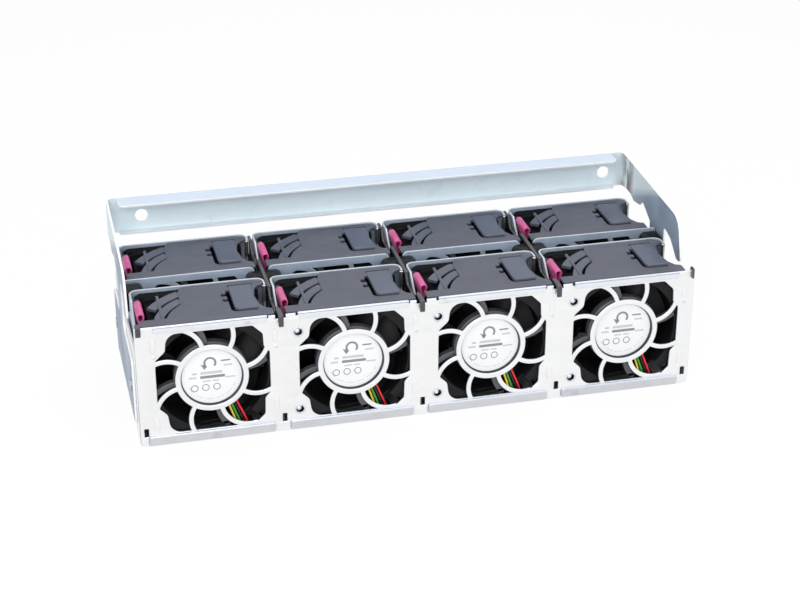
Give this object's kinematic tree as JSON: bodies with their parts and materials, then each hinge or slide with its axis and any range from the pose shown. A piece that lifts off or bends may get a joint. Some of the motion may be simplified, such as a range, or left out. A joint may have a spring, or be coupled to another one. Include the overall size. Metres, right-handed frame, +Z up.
{
  "type": "server fan module",
  "caption": "Hot-plug fan cage for a server: bright sheet-metal cage with swirl finger guards, lift-out black fan modules with magenta latches and a rear cross rail.",
  "frame": {"origin": "bottom centre of the assembly's bounding box", "axes": "+X along the cage to the right seen from the guards, +Y from the guards to the rear rail, +Z up"},
  "size_m": [0.2946, 0.1184, 0.088],
  "materials": {
    "bright_sheet_steel": "bright satin zinc-coated sheet",
    "galvanised_steel": "cool grey galvanised sheet",
    "clip_steel": "spring steel",
    "rivet_steel": "zinc-plated",
    "grey_plastic": "dark grey moulded",
    "black_plastic": "fine-textured black",
    "black_gloss_plastic": "glossy black",
    "fan_plastic": "semi-matt black",
    "magenta_plastic": "semi-gloss dark magenta",
    "lead_insulation": "smooth insulation"
  },
  "bodies": {
    "cage": {"front_guard_panel": "bright_sheet_steel", "mid_guard_panel": "bright_sheet_steel", "inner_back_wall": "bright_sheet_steel", "outer_back_wall": "bright_sheet_steel", "floor_tray": "bright_sheet_steel", "carrier_bracket": "galvanised_steel", "bay_dividers": "grey_plastic", "row_spacers": "black_gloss_plastic", "power_sockets": "black_plastic", "end_clips": "clip_steel", "cage_rivets": "rivet_steel"},
    "module_1": {"module_1_cover": "black_plastic", "module_1_housing": "black_plastic", "module_1_leads": "lead_insulation", "module_1_plug": "black_plastic"},
    "rotor_1": {"module_1_impeller": "fan_plastic"},
    "latch_1": {"module_1_latch": "magenta_plastic"},
    "module_2": {"module_2_cover": "black_plastic", "module_2_housing": "black_plastic", "module_2_leads": "lead_insulation", "module_2_plug": "black_plastic"},
    "rotor_2": {"module_2_impeller": "fan_plastic"},
    "latch_2": {"module_2_latch": "magenta_plastic"},
    "module_3": {"module_3_cover": "black_plastic", "module_3_housing": "black_plastic", "module_3_leads": "lead_insulation", "module_3_plug": "black_plastic"},
    "rotor_3": {"module_3_impeller": "fan_plastic"},
    "latch_3": {"module_3_latch": "magenta_plastic"},
    "module_4": {"module_4_cover": "black_plastic", "module_4_housing": "black_plastic", "module_4_leads": "lead_insulation", "module_4_plug": "black_plastic"},
    "rotor_4": {"module_4_impeller": "fan_plastic"},
    "latch_4": {"module_4_latch": "magenta_plastic"},
    "module_5": {"module_5_cover": "black_plastic", "module_5_housing": "black_plastic", "module_5_leads": "lead_insulation", "module_5_plug": "black_plastic"},
    "rotor_5": {"module_5_impeller": "fan_plastic"},
    "latch_5": {"module_5_latch": "magenta_plastic"},
    "module_6": {"module_6_cover": "black_plastic", "module_6_housing": "black_plastic", "module_6_leads": "lead_insulation", "module_6_plug": "black_plastic"},
    "rotor_6": {"module_6_impeller": "fan_plastic"},
    "latch_6": {"module_6_latch": "magenta_plastic"},
    "module_7": {"module_7_cover": "black_plastic", "module_7_housing": "black_plastic", "module_7_leads": "lead_insulation", "module_7_plug": "black_plastic"},
    "rotor_7": {"module_7_impeller": "fan_plastic"},
    "latch_7": {"module_7_latch": "magenta_plastic"},
    "module_8": {"module_8_cover": "black_plastic", "module_8_housing": "black_plastic", "module_8_leads": "lead_insulation", "module_8_plug": "black_plastic"},
    "rotor_8": {"module_8_impeller": "fan_plastic"},
    "latch_8": {"module_8_latch": "magenta_plastic"}
  },
  "joints": [
    {"name": "module_1_lift", "type": "slide", "parent": "cage", "child": "module_1", "axis": [0, 0, 1], "range_m": [0, 0.066]},
    {"name": "fan_1_spin", "type": "hinge", "parent": "module_1", "child": "rotor_1", "pos_m": [-0.108, -0.036, 0.035], "axis": [0, 1, 0], "continuous": true},
    {"name": "latch_1_squeeze", "type": "hinge", "parent": "module_1", "child": "latch_1", "pos_m": [-0.1402, -0.03505, 0.033], "axis": [0, 1, 0], "range_deg": [0, 2.5], "stiffness_Nm_per_rad": 0.4},
    {"name": "module_2_lift", "type": "slide", "parent": "cage", "child": "module_2", "axis": [0, 0, 1], "range_m": [0, 0.066]},
    {"name": "fan_2_spin", "type": "hinge", "parent": "module_2", "child": "rotor_2", "pos_m": [-0.036, -0.036, 0.035], "axis": [0, 1, 0], "continuous": true},
    {"name": "latch_2_squeeze", "type": "hinge", "parent": "module_2", "child": "latch_2", "pos_m": [-0.0682, -0.03505, 0.033], "axis": [0, 1, 0], "range_deg": [0, 2.5], "stiffness_Nm_per_rad": 0.4},
    {"name": "module_3_lift", "type": "slide", "parent": "cage", "child": "module_3", "axis": [0, 0, 1], "range_m": [0, 0.066]},
    {"name": "fan_3_spin", "type": "hinge", "parent": "module_3", "child": "rotor_3", "pos_m": [0.036, -0.036, 0.035], "axis": [0, 1, 0], "continuous": true},
    {"name": "latch_3_squeeze", "type": "hinge", "parent": "module_3", "child": "latch_3", "pos_m": [0.0038, -0.03505, 0.033], "axis": [0, 1, 0], "range_deg": [0, 2.5], "stiffness_Nm_per_rad": 0.4},
    {"name": "module_4_lift", "type": "slide", "parent": "cage", "child": "module_4", "axis": [0, 0, 1], "range_m": [0, 0.066]},
    {"name": "fan_4_spin", "type": "hinge", "parent": "module_4", "child": "rotor_4", "pos_m": [0.108, -0.036, 0.035], "axis": [0, 1, 0], "continuous": true},
    {"name": "latch_4_squeeze", "type": "hinge", "parent": "module_4", "child": "latch_4", "pos_m": [0.0758, -0.03505, 0.033], "axis": [0, 1, 0], "range_deg": [0, 2.5], "stiffness_Nm_per_rad": 0.4},
    {"name": "module_5_lift", "type": "slide", "parent": "cage", "child": "module_5", "axis": [0, 0, 1], "range_m": [0, 0.066]},
    {"name": "fan_5_spin", "type": "hinge", "parent": "module_5", "child": "rotor_5", "pos_m": [-0.108, 0.02, 0.035], "axis": [0, 1, 0], "continuous": true},
    {"name": "latch_5_squeeze", "type": "hinge", "parent": "module_5", "child": "latch_5", "pos_m": [-0.1402, 0.02095, 0.033], "axis": [0, 1, 0], "range_deg": [0, 2.5], "stiffness_Nm_per_rad": 0.4},
    {"name": "module_6_lift", "type": "slide", "parent": "cage", "child": "module_6", "axis": [0, 0, 1], "range_m": [0, 0.066]},
    {"name": "fan_6_spin", "type": "hinge", "parent": "module_6", "child": "rotor_6", "pos_m": [-0.036, 0.02, 0.035], "axis": [0, 1, 0], "continuous": true},
    {"name": "latch_6_squeeze", "type": "hinge", "parent": "module_6", "child": "latch_6", "pos_m": [-0.0682, 0.02095, 0.033], "axis": [0, 1, 0], "range_deg": [0, 2.5], "stiffness_Nm_per_rad": 0.4},
    {"name": "module_7_lift", "type": "slide", "parent": "cage", "child": "module_7", "axis": [0, 0, 1], "range_m": [0, 0.066]},
    {"name": "fan_7_spin", "type": "hinge", "parent": "module_7", "child": "rotor_7", "pos_m": [0.036, 0.02, 0.035], "axis": [0, 1, 0], "continuous": true},
    {"name": "latch_7_squeeze", "type": "hinge", "parent": "module_7", "child": "latch_7", "pos_m": [0.0038, 0.02095, 0.033], "axis": [0, 1, 0], "range_deg": [0, 2.5], "stiffness_Nm_per_rad": 0.4},
    {"name": "module_8_lift", "type": "slide", "parent": "cage", "child": "module_8", "axis": [0, 0, 1], "range_m": [0, 0.066]},
    {"name": "fan_8_spin", "type": "hinge", "parent": "module_8", "child": "rotor_8", "pos_m": [0.108, 0.02, 0.035], "axis": [0, 1, 0], "continuous": true},
    {"name": "latch_8_squeeze", "type": "hinge", "parent": "module_8", "child": "latch_8", "pos_m": [0.0758, 0.02095, 0.033], "axis": [0, 1, 0], "range_deg": [0, 2.5], "stiffness_Nm_per_rad": 0.4}
  ]
}
